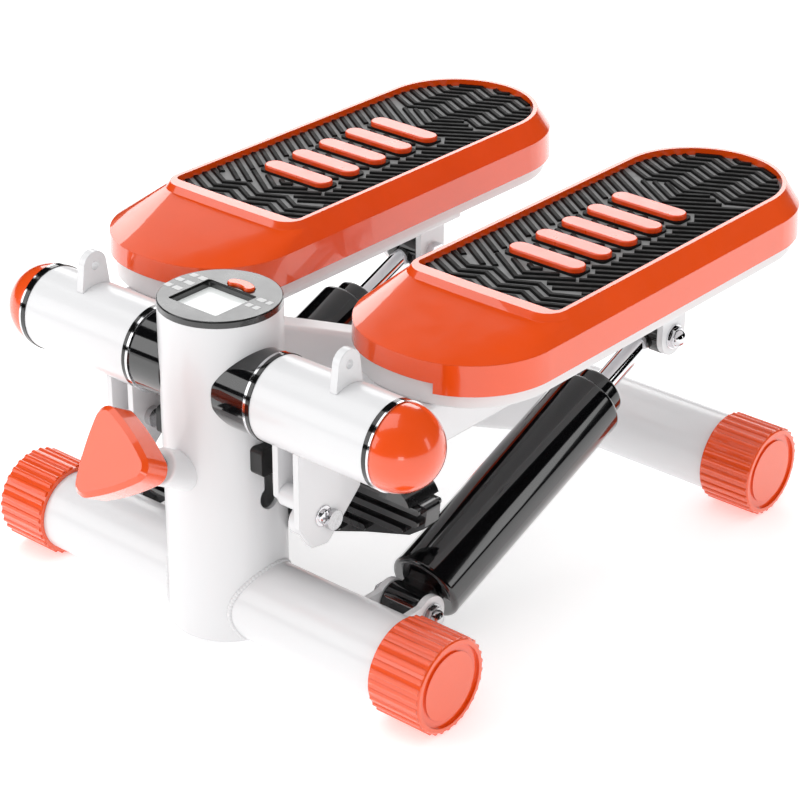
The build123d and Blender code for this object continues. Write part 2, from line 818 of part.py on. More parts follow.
def pedal_fasteners(side):
    """Deck screws from below, and the lug's cross screw and bolt."""
    with BuildPart() as screws:
        with BuildSketch(Plane.XY.offset(tray_bottom - 2.4)):
            with Locations(*screw_places(side)):
                Circle(4.5)
        extrude(amount=2.4)
        with BuildSketch(Plane.XY.offset(tray_bottom)):
            with Locations(*screw_places(side)):
                Circle(2.0)
        extrude(amount=12)
        for x, reach, y, z, radius in ((74, 3.2, 7, 96, 6.0), (54, -4.0, -4, 121, 6.0)):
            x_cylinder(side * x, side * (x + reach), front_y + y, z, radius)
    return screws


# ---------------------------------------------------------------- hydraulic cylinders
def cylinder_plane(side, distance):
    """The plane square to a cylinder's axis, at a distance from its lower eye."""
    rise = upper_eye_z - lower_eye_z
    run = upper_eye_y - lower_eye_y
    along = Vector(0, run, rise).normalized()
    origin = Vector(side * pedal_x, lower_eye_y, lower_eye_z) + along * distance
    return Plane(origin=origin, x_dir=(1, 0, 0), z_dir=along)


def eye_span():
    """The distance between a cylinder's eyes with the pedals level."""
    return hypot(upper_eye_y - lower_eye_y, upper_eye_z - lower_eye_z)


def cylinder_barrel(side):
    """The oil cylinder with its lower eye."""
    x = side * pedal_x
    with BuildPart() as barrel:
        with BuildSketch(cylinder_plane(side, barrel_start)):
            Circle(barrel_radius)
        extrude(amount=barrel_end - barrel_start)
        fillet(barrel.edges().filter_by(GeomType.CIRCLE), 3.0)
        with BuildSketch(cylinder_plane(side, barrel_start + 8)):
            Circle(barrel_bore)
        extrude(amount=barrel_end - barrel_start, mode=Mode.SUBTRACT)
        with BuildSketch(cylinder_plane(side, 0)):
            Rectangle(20, 14)
        extrude(amount=barrel_start + 1)
        x_cylinder(x - eye_width / 2, x + eye_width / 2, lower_eye_y, lower_eye_z, eye_radius)
        x_cylinder(x - eye_width, x + eye_width, lower_eye_y, lower_eye_z, eye_pin_radius + running_gap,
                   Mode.SUBTRACT)
    return barrel


def cylinder_gland(side):
    """The screwed end that seals and guides the rod."""
    with BuildPart() as gland:
        with BuildSketch(cylinder_plane(side, barrel_end - 14)):
            Circle(barrel_bore)
        extrude(amount=14)
        with BuildSketch(cylinder_plane(side, barrel_end)):
            Circle(17.0)
        extrude(amount=gland_end - barrel_end)
        fillet(gland.edges().group_by(Axis.Y)[-1], 3.0)
        with BuildSketch(cylinder_plane(side, barrel_end - 20)):
            Circle(rod_radius + 0.08)
        extrude(amount=50, mode=Mode.SUBTRACT)
    return gland


def piston_rod(side):
    """The rod with its piston and its upper eye, bored large enough to follow the bolt's arc."""
    x = side * pedal_x
    end = cylinder_plane(side, eye_span())
    eye = end.origin + end.y_dir * eye_drop
    loose_bore = eye_pin_radius + eye_drop + 0.35
    with BuildPart() as rod:
        with BuildSketch(cylinder_plane(side, 110)):
            Circle(rod_radius)
        extrude(amount=eye_span() - 110 - eye_radius + 2)
        with BuildSketch(cylinder_plane(side, 110)):
            Circle(barrel_bore - body_gap)
        extrude(amount=12)
        x_cylinder(x - eye_width / 2, x + eye_width / 2, eye.Y, eye.Z, eye_radius)
        x_cylinder(x - eye_width, x + eye_width, eye.Y, eye.Z, loose_bore, Mode.SUBTRACT)
    return rod


save(crossbar(front_y), "front_crossbar")
save(crossbar(rear_y), "rear_crossbar")
save(column(), "column")
save(centre_beam(), "centre_beam")
save(cross_bolts([-pedal_x, pedal_x], lower_eye_y, lower_eye_z), "clevis_bolts")
save(pivot_shaft(), "pivot_shaft")
save(shaft_nuts(), "shaft_nuts")
save(pivot_collars(), "pivot_collars")
save(display_bezel(), "display_bezel")
save(display_screen(), "display_screen")
save(display_board(), "display_board")
save(reset_button(), "reset_button")
save(stop_blocks(), "stop_blocks")
save(knob_boss(), "knob_boss")
save(knob_screw(), "knob_screw")
save(knob(), "knob")
save(rocker_beam(), "rocker_beam")
save(rocker_pads(), "rocker_pads")
save(rocker_bracket(), "rocker_bracket")
save(rocker_pin(), "rocker_pin")

for side, name in SIDES:
    save(end_cap(side, front_y), f"front_cap_{name}")
    save(end_cap(side, rear_y), f"rear_cap_{name}")
    save(cylinder_clevis(side), f"cylinder_clevis_{name}")
    save(hub_tube(side), f"hub_tube_{name}")
    save(hub_rings(side), f"hub_rings_{name}")
    save(hub_bushes(side), f"hub_bushes_{name}")
    save(hub_dome(side), f"hub_dome_{name}")
    save(band_ear(side), f"band_ear_{name}")
    save(stop_lug(side), f"stop_lug_{name}")
    save(pedal_arm(side), f"pedal_arm_{name}")
    save(shock_bracket(side), f"shock_bracket_{name}")
    save(cross_bolts([side * pedal_x], upper_eye_y, upper_eye_z), f"shock_bolt_{name}")
    save(pedal_tray(side), f"pedal_tray_{name}")
    save(pedal_shell(side), f"pedal_shell_{name}")
    save(pedal_mat(side), f"pedal_mat_{name}")
    save(grip_bars(side), f"grip_bars_{name}")
    save(pedal_fasteners(side), f"pedal_fasteners_{name}")
    save(cylinder_barrel(side), f"cylinder_barrel_{name}")
    save(cylinder_gland(side), f"cylinder_gland_{name}")
    save(piston_rod(side), f"piston_rod_{name}")
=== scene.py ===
"""Looks for the mini stepper: materials, ribbed mats, print, welds and screws, light and camera."""

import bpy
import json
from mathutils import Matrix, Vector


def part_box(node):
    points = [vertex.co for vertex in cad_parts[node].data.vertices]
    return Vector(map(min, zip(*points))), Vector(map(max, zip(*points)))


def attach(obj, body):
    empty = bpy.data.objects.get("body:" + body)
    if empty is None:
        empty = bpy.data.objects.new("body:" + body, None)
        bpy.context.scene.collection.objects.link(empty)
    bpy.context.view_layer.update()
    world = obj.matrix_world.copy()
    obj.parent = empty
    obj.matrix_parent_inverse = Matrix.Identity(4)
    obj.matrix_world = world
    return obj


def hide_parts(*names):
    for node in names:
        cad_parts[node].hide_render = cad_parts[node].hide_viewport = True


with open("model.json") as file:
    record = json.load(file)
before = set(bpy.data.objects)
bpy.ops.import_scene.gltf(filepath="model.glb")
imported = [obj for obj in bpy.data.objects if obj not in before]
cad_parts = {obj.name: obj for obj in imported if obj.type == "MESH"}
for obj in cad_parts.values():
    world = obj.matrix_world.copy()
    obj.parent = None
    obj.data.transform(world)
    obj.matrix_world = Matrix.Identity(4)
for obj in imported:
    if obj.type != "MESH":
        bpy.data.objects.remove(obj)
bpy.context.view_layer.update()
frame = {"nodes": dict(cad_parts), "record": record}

import json
import math

import bmesh
import bpy
import numpy as np
from mathutils import Matrix, Vector

MM = 0.001
NODES = frame["nodes"]
SIDES = (("right", 1), ("left", -1))


# ------------------------------------------------------------------ materials
class Shader:
    """A Principled material with an object-space texture, built a few nodes at a time."""

    def __init__(self, name):
        self.mat = bpy.data.materials.new(name)
        self.mat.use_nodes = True
        self.tree = self.mat.node_tree
        self.bsdf = self.tree.nodes["Principled BSDF"]
        coord = self.tree.nodes.new("ShaderNodeTexCoord")
        self.place = coord.outputs["Object"]

    def node(self, kind, **inputs):
        """Adds a node; each input is a constant or another node's output."""
        made = self.tree.nodes.new("ShaderNode" + kind)
        for key, value in inputs.items():
            key = key.replace("_", " ")
            if hasattr(value, "is_output"):
                self.tree.links.new(value, made.inputs[key])
            else:
                made.inputs[key].default_value = value
        return made

    def set(self, **values):
        """Sets the shader's own sockets."""
        for key, value in values.items():
            socket = self.bsdf.inputs[key.replace("_", " ")]
            if hasattr(value, "is_output"):
                self.tree.links.new(value, socket)
            else:
                socket.default_value = value

    def noise(self, scale, detail=3.0, stretch=None):
        """A noise value; stretch scales it along each axis."""
        place = self.place
        if stretch:
            mapping = self.node("Mapping", Vector=place, Scale=stretch)
            place = mapping.outputs["Vector"]
        made = self.node("TexNoise", Vector=place, Scale=scale, Detail=detail, Roughness=0.55)
        return made.outputs["Fac"]

    def ramp(self, value, stops):
        """A colour ramp: stops are (position, colour or grey)."""
        made = self.node("ValToRGB", Fac=value)
        ramp = made.color_ramp
        while len(ramp.elements) < len(stops):
            ramp.elements.new(0.5)
        for element, (at, colour) in zip(ramp.elements, stops):
            element.position = at
            if not isinstance(colour, (tuple, list)):
                colour = (colour, colour, colour)
            element.color = (*colour, 1.0)
        return made.outputs["Color"]

    def remap(self, value, low, high, from_low=0.3, from_high=0.7):
        """Stretches a value from one range to another."""
        made = self.node("MapRange", Value=value)
        for index, number in enumerate((from_low, from_high, low, high)):
            made.inputs[index + 1].default_value = number
        return made.outputs["Result"]

    def bump(self, height, strength, distance, round_edge=0.0005):
        """A fine relief over softly rounded edges."""
        made = self.node("Bump", Height=height, Strength=strength, Distance=distance)
        edge = self.node("Bevel", Radius=round_edge)
        edge.samples = 4
        self.tree.links.new(edge.outputs["Normal"], made.inputs["Normal"])
        return made.outputs["Normal"]


def shade(colour, factor):
    return tuple(min(1.0, c * factor) for c in colour)


def finish_material(name, colour, rough, vary=0.05, blotch=25.0, grain=1400.0, grain_height=0.00002,
                    strength=0.25, rough_vary=0.06, round_edge=0.0006, **extra):
    """Paint or moulded plastic: slow tint changes, a fine grain, and softly rounded edges."""
    s = Shader(name)
    slow = s.noise(blotch, 4.0)
    fine = s.noise(grain, 2.0)
    s.set(Base_Color=s.ramp(slow, [(0.3, shade(colour, 1 - vary)), (0.7, shade(colour, 1 + vary))]),
          Roughness=s.remap(s.noise(blotch * 3.1, 5.0), rough - rough_vary, rough + rough_vary),
          Normal=s.bump(fine, strength, grain_height, round_edge), **extra)
    return s


WHITE = (0.80, 0.80, 0.81)
ORANGE = (0.90, 0.082, 0.004)
CHROME = (0.80, 0.80, 0.82)
BLACK = (0.004, 0.004, 0.004)
RING_SILVER = 1.6 * MM
EYE_REACH = 13.5 * MM
DOT_PITCH = 0.9 * MM
DOT_GAP = 0.06 * MM

frame_white = finish_material("frame_white", WHITE, 0.30, vary=0.004, blotch=9.0, grain=900.0,
                              grain_height=0.000004, strength=0.05, rough_vary=0.005, Coat_Weight=0.3,
                              Coat_Roughness=0.12)
tray_white = finish_material("tray_white", (0.78, 0.78, 0.785), 0.36, vary=0.012, grain=1800.0,
                             strength=0.30, rough_vary=0.03, Coat_Weight=0.2, Coat_Roughness=0.2)
orange_plastic = finish_material("orange_plastic", ORANGE, 0.24, vary=0.03, grain=1300.0, strength=0.05,
                                 rough_vary=0.03, Coat_Weight=1.0, Coat_Roughness=0.012, Coat_IOR=1.55)
orange_rubber = finish_material("orange_rubber", (0.88, 0.075, 0.006), 0.32, vary=0.03, grain=2200.0,
                                grain_height=0.00002, strength=0.15, Coat_Weight=1.0, Coat_Roughness=0.04)
black_gloss = finish_material("black_gloss", (0.0035, 0.0035, 0.004), 0.10, vary=0.2, grain=500.0,
                              strength=0.05, rough_vary=0.02, Coat_Weight=1.0, Coat_Roughness=0.012)
black_plastic = finish_material("black_plastic", (0.006, 0.006, 0.0065), 0.24, vary=0.2, grain=1600.0,
                                grain_height=0.00002, strength=0.12, Coat_Weight=1.0, Coat_Roughness=0.03)
black_rubber = finish_material("black_rubber", (0.009, 0.009, 0.009), 0.40, vary=0.2, grain=1900.0,
                               grain_height=0.00006, strength=0.4, Sheen_Weight=0.05)
black_steel = finish_material("black_steel", (0.012, 0.012, 0.013), 0.26, vary=0.25, grain=900.0,
                              strength=0.2, Coat_Weight=0.8, Coat_Roughness=0.06)
bezel_grey = finish_material("bezel_grey", (0.012, 0.0125, 0.0125), 0.30, vary=0.1, grain=2600.0,
                             grain_height=0.00002, strength=0.2, Coat_Weight=1.0, Coat_Roughness=0.07)
board_green = finish_material("board_green", (0.03, 0.16, 0.07), 0.4, vary=0.2, grain=700.0)
bush_nylon = finish_material("bush_nylon", (0.70, 0.69, 0.64), 0.45, vary=0.04)
print_white = finish_material("print_white", (0.74, 0.74, 0.74), 0.5, vary=0.05, grain=3000.0)



def metal_material(name, colour, rough, stretch, scale, streak):
    """Plated or machined metal with drawn streaks."""
    s = Shader(name)
    lines = s.noise(scale, 4.0, stretch)
    s.set(Base_Color=s.ramp(s.noise(40.0, 3.0), [(0.3, shade(colour, 0.93)), (0.7, shade(colour, 1.05))]),
          Metallic=1.0, Roughness=s.remap(lines, rough * 0.7, rough * 1.5),
          Normal=s.bump(lines, streak, 0.00002, 0.0004))
    return s


def split_finish(s, along, stops, rough):
    """Polished metal beside black enamel: along runs 0 to 1, and each stop is (position, is it metal)."""
    colour = s.ramp(along, [(at, CHROME if metal else BLACK) for at, metal in stops])
    shine = s.ramp(along, [(at, float(metal)) for at, metal in stops])
    for socket in (colour, shine):
        socket.node.color_ramp.interpolation = "CONSTANT"
    s.set(Base_Color=colour, Metallic=shine, Roughness=s.remap(s.noise(600.0), rough * 0.7, rough * 1.4),
          Coat_Weight=0.5, Coat_Roughness=0.03, Normal=s.bump(s.noise(900.0), 0.05, 0.00002, 0.0003))
    return s


def ring_material():
    """Hub trim: the part of each ring against the tube is black and the outer edge is polished."""
    low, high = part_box("hub_rings_right")
    s = Shader("hub_ring")
    split = s.node("SeparateXYZ", Vector=s.place)
    across = s.node("Math", Value=split.outputs["X"])
    across.operation = "ABSOLUTE"
    edge = RING_SILVER / (high.x - low.x)
    along = s.remap(across.outputs["Value"], 0.0, 1.0, low.x, high.x)
    return split_finish(s, along, [(0.0, True), (edge, False), (1.0 - edge, True)], 0.10)


def rod_material():
    """Chromed rod with a black eye."""
    low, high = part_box("shock_bolt_right")
    s = Shader("piston_rod")
    flat = s.node("VectorMath", Vector=s.place)
    flat.operation = "MULTIPLY"
    flat.inputs[1].default_value = (0.0, 1.0, 1.0)
    away = s.node("VectorMath", Vector=flat.outputs["Vector"])
    away.operation = "DISTANCE"
    away.inputs[1].default_value = (0.0, (low.y + high.y) / 2, (low.z + high.z) / 2)
    along = s.remap(away.outputs["Value"], 0.0, 1.0, 0.0, 2 * EYE_REACH)
    return split_finish(s, along, [(0.0, False), (0.5, True)], 0.05)


def display_material():
    """A blank pale display with its fine dot grid, brightened by a faint painted glow."""
    s = Shader("display_glass")
    grid = s.node("TexBrick", Vector=s.place, Scale=1.0, Color1=(0.86, 0.88, 0.87, 1.0),
                  Color2=(0.84, 0.86, 0.855, 1.0), Mortar=(0.70, 0.72, 0.715, 1.0))
    for name, size in (("Brick Width", DOT_PITCH), ("Row Height", DOT_PITCH), ("Mortar Size", DOT_GAP)):
        grid.inputs[name].default_value = size
    grid.offset = 0.0
    # The emission is a painted glow that brightens the blank display, which is no lamp.
    s.set(Base_Color=grid.outputs["Color"], Roughness=s.remap(s.noise(300.0), 0.16, 0.24),
          Coat_Weight=0.3, Coat_Roughness=0.02, Emission_Color=(0.9, 0.93, 0.92, 1.0),
          Emission_Strength=0.15)
    return s


def mat_material():
    """Ribbed black rubber: the channel floors are painted grey as a painted reflection of the studio light,
    and the ribs stay black.
    """
    low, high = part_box("pedal_mat_right")
    s = Shader("mat_rubber")
    split = s.node("SeparateXYZ", Vector=s.place)
    height = s.remap(split.outputs["Z"], 0.0, 1.0, low.z + FLOOR_RISE, high.z)
    speck = s.noise(160.0, 5.0)
    above_floor = s.ramp(height, [(0.0, 0.0), (0.12, 1.0)])
    # Painted reflection: the channel floors get a grey that stands in for the light they reflect.
    channel_painted_reflection = s.ramp(speck, [(0.3, 0.22), (0.7, 0.29)])
    rubber = s.ramp(speck, [(0.3, 0.005), (0.7, 0.010)])
    blend = s.node("Mix")
    blend.data_type = "RGBA"
    for socket, name in ((above_floor, "Factor_Float"), (channel_painted_reflection, "A_Color"), (rubber, "B_Color")):
        s.tree.links.new(socket, next(i for i in blend.inputs if i.identifier == name))
    mixed = next(o for o in blend.outputs if o.identifier == "Result_Color")
    s.set(Base_Color=mixed, Roughness=s.remap(s.noise(90.0, 4.0), 0.42, 0.55),
          Normal=s.bump(s.noise(1500.0, 2.0), 0.5, 0.00006, 0.0003), Specular_IOR_Level=0.16)
    return s


# ------------------------------------------------------------------ mesh helpers
def piece(name, verts, faces, material, body, smooth=False):
    """A new mesh that rides a body."""
    mesh = bpy.data.meshes.new(name)
    mesh.from_pydata([tuple(v) for v in verts], [], [tuple(f) for f in faces])
    mesh.validate()
    work = bmesh.new()
    work.from_mesh(mesh)
    bmesh.ops.remove_doubles(work, verts=work.verts, dist=1e-7)
    bmesh.ops.recalc_face_normals(work, faces=work.faces)
    work.to_mesh(mesh)
    work.free()
    made = bpy.data.objects.new(name, mesh)
    bpy.context.scene.collection.objects.link(made)
    mesh.materials.append(material)
    if smooth:
        for polygon in mesh.polygons:
            polygon.use_smooth = True
    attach(made, body)
    return made


class Build:
    """Vertices and faces of one piece, gathered from several closed shapes."""

    def __init__(self):
        self.verts = []
        self.faces = []

    def rings(self, rings, closed=False):
        """Joins rings of points, each with the same count, into a tube; ends are capped unless closed."""
        start = len(self.verts)
        count = len(rings[0])
        for ring in rings:
            self.verts.extend(ring)
        steps = len(rings) if closed else len(rings) - 1
        for i in range(steps):
            a, b = start + i * count, start + ((i + 1) % len(rings)) * count
            for j in range(count):
                k = (j + 1) % count
                self.faces.append((a + j, a + k, b + k, b + j))
        if not closed:
            self.faces.append(tuple(range(start, start + count))[::-1])
            last = start + (len(rings) - 1) * count
            self.faces.append(tuple(range(last, last + count)))


# ------------------------------------------------------------------ pedal mats
FLOOR_RISE = 1.4 * MM
RIB_PITCH = 7.6 * MM
RIB_BASE = 1.85 * MM
RIB_SHOULDER = 1.55 * MM
RIB_TOP = 1.15 * MM
EDGE_GAP = 1.5 * MM
V_SLOPE = 0.66
WAVE_SLOPE = 0.52
WAVE_TURNS = (16.0 * MM, 29.5 * MM)  # where the zigzag turns, from the middle line
HEEL_WAVES = 66.0 * MM  # first zigzag row, from the heel end
TOE_WAVES = 21.5 * MM  # last zigzag row, from the nose end
HEEL_ROWS = 12
TOE_ROWS = 8
MIDDLE_ROWS = range(-5, 34)
ZONE_GAP = 0.62 * RIB_PITCH
SHORTEST_RIB = 2.4 * MM
SUNK = 0.15 * MM
BAR_COUNT = 5
BAR_GAP = 1.7 * MM
BAR_WIDTH = 13.0 * MM
PLINTH_EDGE = 0.8 * MM
PLINTH_CORNER = 3.2 * MM
RIB_ROUND = 0.4 * MM
PATH_STEP = 0.25 * MM
ZONE_SAMPLES = np.arange(-60, 61) * MM


def top_outline(node):
    """The ordered corner points of a node's flat top."""
    work = bmesh.new()
    work.from_mesh(NODES[node].data)
    bmesh.ops.remove_doubles(work, verts=work.verts, dist=1e-6)
    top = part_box(node)[1].z
    flat = {f for f in work.faces if f.normal.z > 0.99 and abs(f.calc_center_median().z - top) < 1e-5}
    links = {}
    for face in flat:
        for edge in face.edges:
            if sum(other in flat for other in edge.link_faces) == 1:
                a, b = edge.verts
                links.setdefault(a, []).append(b)
                links.setdefault(b, []).append(a)
    first = min(links, key=lambda v: (round(v.co.y, 5), v.co.x))
    loop, here, last = [first], links[first][0], first
    while here is not first:
        loop.append(here)
        here, last = [v for v in links[here] if v is not last][0], here
    points = np.array([(v.co.x, v.co.y) for v in loop])
    work.free()
    return points


def edge_distance(points, outline):
    """How far inside the outline each point is, negative outside."""
    a, b = outline, np.roll(outline, -1, axis=0)
    d = b - a
    rel = points[:, None, :] - a[None]
    t = np.clip((rel * d).sum(-1) / (d * d).sum(-1), 0, 1)
    gap = np.linalg.norm(rel - t[..., None] * d, axis=-1).min(1)
    crosses = (a[:, 1] > points[:, 1:2]) != (b[:, 1] > points[:, 1:2])
    with np.errstate(divide="ignore", invalid="ignore"):
        at = a[:, 0] + (points[:, 1:2] - a[:, 1]) / (b[:, 1] - a[:, 1]) * d[:, 0]
    inside = (crosses & (points[:, :1] < at)).sum(1) % 2 == 1
    return np.where(inside, gap, -gap)


def wave(u):
    """The zigzag's rise at a distance u from the pedal's middle line."""
    u = abs(u)
    first, second = WAVE_TURNS
    if u < first:
        return WAVE_SLOPE * u
    if u < second:
        return WAVE_SLOPE * (2 * first - u)
    return WAVE_SLOPE * (2 * first - 2 * second + u)


def sweep_rib(build, path, low, high):
    """A rib with sloping sides along a path in plan."""
    path = np.array(path)
    seg = np.diff(path, axis=0)
    seg /= np.linalg.norm(seg, axis=1)[:, None]
    normals = np.stack([-seg[:, 1], seg[:, 0]], 1)
    rings = []
    for i, point in enumerate(path):
        a = normals[max(i - 1, 0)]
        b = normals[min(i, len(normals) - 1)]
        mitre = (a + b) / (1 + a @ b)
        rings.append([(*(point + mitre * side * half), z) for side, half, z in
                      ((-1, RIB_BASE, low), (1, RIB_BASE, low), (1, RIB_SHOULDER, high - RIB_ROUND),
                       (1, RIB_TOP, high), (-1, RIB_TOP, high), (-1, RIB_SHOULDER, high - RIB_ROUND))])
    build.rings(rings)


def rib_paths(centre, outline, turns, shape, rows, keep):
    """Rib centre lines y = row + shape(x), cut to the parts where keep() holds."""
    half = np.abs(outline[:, 0] - centre).max()
    u = np.arange(-half, half + PATH_STEP, PATH_STEP)
    paths = []
    for row in rows:
        line = np.stack([centre + u, row + np.array([shape(v) for v in u])], 1)
        good = keep(line)
        start = None
        for i in range(len(u) + 1):
            ok = i < len(u) and good[i]
            if ok and start is None:
                start = i
            elif not ok and start is not None:
                if i - start > SHORTEST_RIB / PATH_STEP:
                    inner = [centre + t for t in turns if u[start] + PATH_STEP < t < u[i - 1] - PATH_STEP]
                    xs = [line[start, 0], *inner, line[i - 1, 0]]
                    paths.append([(x, row + shape(x - centre)) for x in xs])
                start = None
    return paths


def ribbed_mat(side):
    """A pedal's mat: zigzag ribs at each end, V ribs between, and a plinth round each grip bar."""
    node = f"pedal_mat_{side}"
    low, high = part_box(node)
    outline = top_outline(node)
    centre = (low.x + high.x) / 2
    bars_low, bars_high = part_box(f"grip_bars_{side}")
    pitch = (bars_high.y - bars_low.y - BAR_WIDTH) / (BAR_COUNT - 1)
    heel_row, toe_row = high.y - HEEL_WAVES, low.y + TOE_WAVES
    floor = low.z + FLOOR_RISE
    margin = BAR_GAP + RIB_BASE
    zone_rise = np.array([wave(v) for v in ZONE_SAMPLES])

    def clear(line):
        """Where a line is inside the mat's edge and off the bars."""
        ok = edge_distance(line, outline) > EDGE_GAP
        for bar in range(BAR_COUNT):
            y0 = bars_low.y + bar * pitch - margin
            y1 = bars_low.y + bar * pitch + BAR_WIDTH + margin
            x0, x1 = bars_low.x - margin, bars_high.x + margin
            ok &= ~((line[:, 0] > x0) & (line[:, 0] < x1) & (line[:, 1] > y0) & (line[:, 1] < y1))
        return ok

    def between_waves(line):
        """Where a line is clear and lies between the two zigzag zones."""
        rise = np.interp(line[:, 0] - centre, ZONE_SAMPLES, zone_rise)
        below_heel = line[:, 1] < heel_row + rise - ZONE_GAP
        above_toe = line[:, 1] > toe_row + rise + ZONE_GAP
        return clear(line) & below_heel & above_toe

    turns = (-WAVE_TURNS[1], -WAVE_TURNS[0], 0.0, WAVE_TURNS[0], WAVE_TURNS[1])
    heel_rows = [heel_row + i * RIB_PITCH for i in range(HEEL_ROWS)]
    toe_rows = [toe_row - i * RIB_PITCH for i in range(TOE_ROWS)]
    middle = [toe_row + i * RIB_PITCH for i in MIDDLE_ROWS]
    paths = rib_paths(centre, outline, turns, wave, heel_rows + toe_rows, clear)
    paths += rib_paths(centre, outline, (0.0,), lambda v: V_SLOPE * abs(v), middle, between_waves)
    build = Build()
    build.rings([[(x, y, low.z) for x, y in outline], [(x, y, floor) for x, y in outline]])
    for path in paths:
        sweep_rib(build, path, floor - SUNK, high.z)
    for bar in range(BAR_COUNT):
        y0 = bars_low.y + bar * pitch
        plinth = rounded_box(bars_low.x - PLINTH_EDGE, y0 - PLINTH_EDGE, bars_high.x + PLINTH_EDGE,
                             y0 + BAR_WIDTH + PLINTH_EDGE, PLINTH_CORNER)
        build.rings([[(x, y, floor - SUNK) for x, y in plinth], [(x, y, high.z) for x, y in plinth]])
    made = piece(f"ribbed_mat_{side}", build.verts, build.faces, mat_rubber.mat, f"pedal_{side}")
    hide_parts(node)
    return made


def rounded_box(x0, y0, x1, y1, r, steps=6):
    """The corner points of a rounded rectangle, counter-clockwise."""
    points = []
    corners = ((x1 - r, y0 + r, -90), (x1 - r, y1 - r, 0), (x0 + r, y1 - r, 90), (x0 + r, y0 + r, 180))
    for cx, cy, start in corners:
        for i in range(steps + 1):
            a = math.radians(start + 90 * i / steps)
            points.append((cx + r * math.cos(a), cy + r * math.sin(a)))
    return points


# ------------------------------------------------------------------ display print
MARK_HEIGHT = 4.2
MARK_SPACE = 1.4
MARK_ROWS = ((-33.5, -10.5, (5.0, 6.0)), (-33.5, -1.5, (5.0, 6.5)), (-31.5, 7.5, (5.0, 5.5)),
             (19.0, -1.0, (4.0, 4.0)), (19.0, 8.0, (5.5, 3.5)))
INK_BELOW = 0.05 * MM
INK_ABOVE = 0.06 * MM


def bezel_marks():
    """Plain printed marks beside the window: each row is (x, y, widths), in mm from the middle."""
    low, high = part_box("display_bezel")
    cx, cy = (low.x + high.x) / 2, (low.y + high.y) / 2
    build = Build()
    for column, row, widths in MARK_ROWS:
        x = cx + column * MM
        for width in widths:
            outline = rounded_box(x, cy + row * MM, x + width * MM, cy + (row + MARK_HEIGHT) * MM, 1.0 * MM)
            build.rings([[(px, py, high.z - INK_BELOW) for px, py in outline],
                         [(px, py, high.z + INK_ABOVE) for px, py in outline]])
            x += (width + MARK_SPACE) * MM
    return piece("display_marks", build.verts, build.faces, print_white.mat, "root")


# ------------------------------------------------------------------ screws and welds
SCREW_HEAD = 4.2 * MM
SCREW_UP = 18.7 * MM
SCREW_ALONG = 19.0 * MM
WASHER_THICK = 0.8 * MM
WASHER_BEVEL = 0.2 * MM
SCREW_TURNS = 64
SCREW_STEPS = 22
BEAD_RADIUS = 1.7 * MM
BEAD_PITCH = 2.2 * MM
BEAD_SIDES = 10
WELD_POINTS = 420
WELD_CLEARANCE = 1.5 * MM


def screw_height(radius, angle):
    """The domed head's height at a polar place, sunk where the cross recess is."""
    y, z = radius * math.cos(angle), radius * math.sin(angle)
    narrow, wide = sorted((abs(y), abs(z)))
    recessed = narrow < 0.17 * SCREW_HEAD and wide < 0.62 * SCREW_HEAD
    rise = 0.45 * SCREW_HEAD
    dome = WASHER_THICK + rise * (0.35 + 0.65 * math.sqrt(1 - (radius / SCREW_HEAD) ** 2))
    return dome - (0.40 * SCREW_HEAD if recessed else 0.0)


def screw(name, at, outward, body):
    """A cross-recess pan screw on a washer, facing along X."""
    washer = SCREW_HEAD * 1.5
    shoulder = WASHER_THICK + 0.45 * SCREW_HEAD * 0.35
    angles = [2 * math.pi * j / SCREW_TURNS for j in range(SCREW_TURNS)]
    profile = [(washer, 0.0), (washer, WASHER_THICK * 0.8), (washer - WASHER_BEVEL, WASHER_THICK),
               (SCREW_HEAD, WASHER_THICK), (SCREW_HEAD, shoulder)]
    rings = [(radius, [height] * SCREW_TURNS) for radius, height in profile]
    for step in range(1, SCREW_STEPS + 1):
        radius = SCREW_HEAD * (1 - step / (SCREW_STEPS + 1))
        rings.append((radius, [screw_height(radius, a) for a in angles]))
    build = Build()
    build.rings([[(at[0] + outward * height, at[1] + radius * math.cos(a), at[2] + radius * math.sin(a))
                  for a, height in zip(angles, heights)] for radius, heights in rings])
    return piece(name, build.verts, build.faces, chrome.mat, body)


def lug_screw(side, sign):
    """The screw head on a lug's outer cheek."""
    low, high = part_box(f"stop_lug_{side}")
    outer = high.x if sign > 0 else low.x
    screw(f"lug_screw_{side}", (outer, low.y + SCREW_ALONG, low.z + SCREW_UP), sign, f"pedal_{side}")


def weld(name, path, body):
    """A closed rippled weld bead along a path of points."""
    path = [Vector(p) for p in path]
    build = Build()
    rings, run, across = [], 0.0, None
    for i, point in enumerate(path):
        ahead, behind = path[(i + 1) % len(path)], path[i - 1]
        along = (ahead - behind).normalized()
        if across is None:
            across = along.orthogonal().normalized()
        else:
            across = (across - along * across.dot(along)).normalized()
        other = along.cross(across)
        run += (point - behind).length
        radius = BEAD_RADIUS * (0.9 + 0.1 * math.cos(2 * math.pi * run / BEAD_PITCH))
        rings.append([tuple(point + across * radius * math.cos(a) + other * radius * math.sin(a))
                      for a in (2 * math.pi * k / BEAD_SIDES for k in range(BEAD_SIDES))])
    build.rings(rings, closed=True)
    return piece(name, build.verts, build.faces, frame_white.mat, body, smooth=True)


def saddle_weld(side, sign):
    """The bead on one side of the column, where the front cross tube meets it."""
    column_low, column_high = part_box("column")
    tube_low, tube_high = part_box("front_crossbar")
    radius = (column_high.x - column_low.x) / 2
    tube = (tube_high.z - tube_low.z) / 2
    y0, z0 = (tube_low.y + tube_high.y) / 2, (tube_low.z + tube_high.z) / 2
    low_edge = column_low.z + WELD_CLEARANCE
    path = []
    for i in range(WELD_POINTS):
        a = 2 * math.pi * i / WELD_POINTS
        y = tube * math.cos(a)
        path.append((sign * math.sqrt(radius ** 2 - y ** 2), y0 + y, max(z0 + tube * math.sin(a), low_edge)))
    weld(f"column_weld_{side}", path, "root")


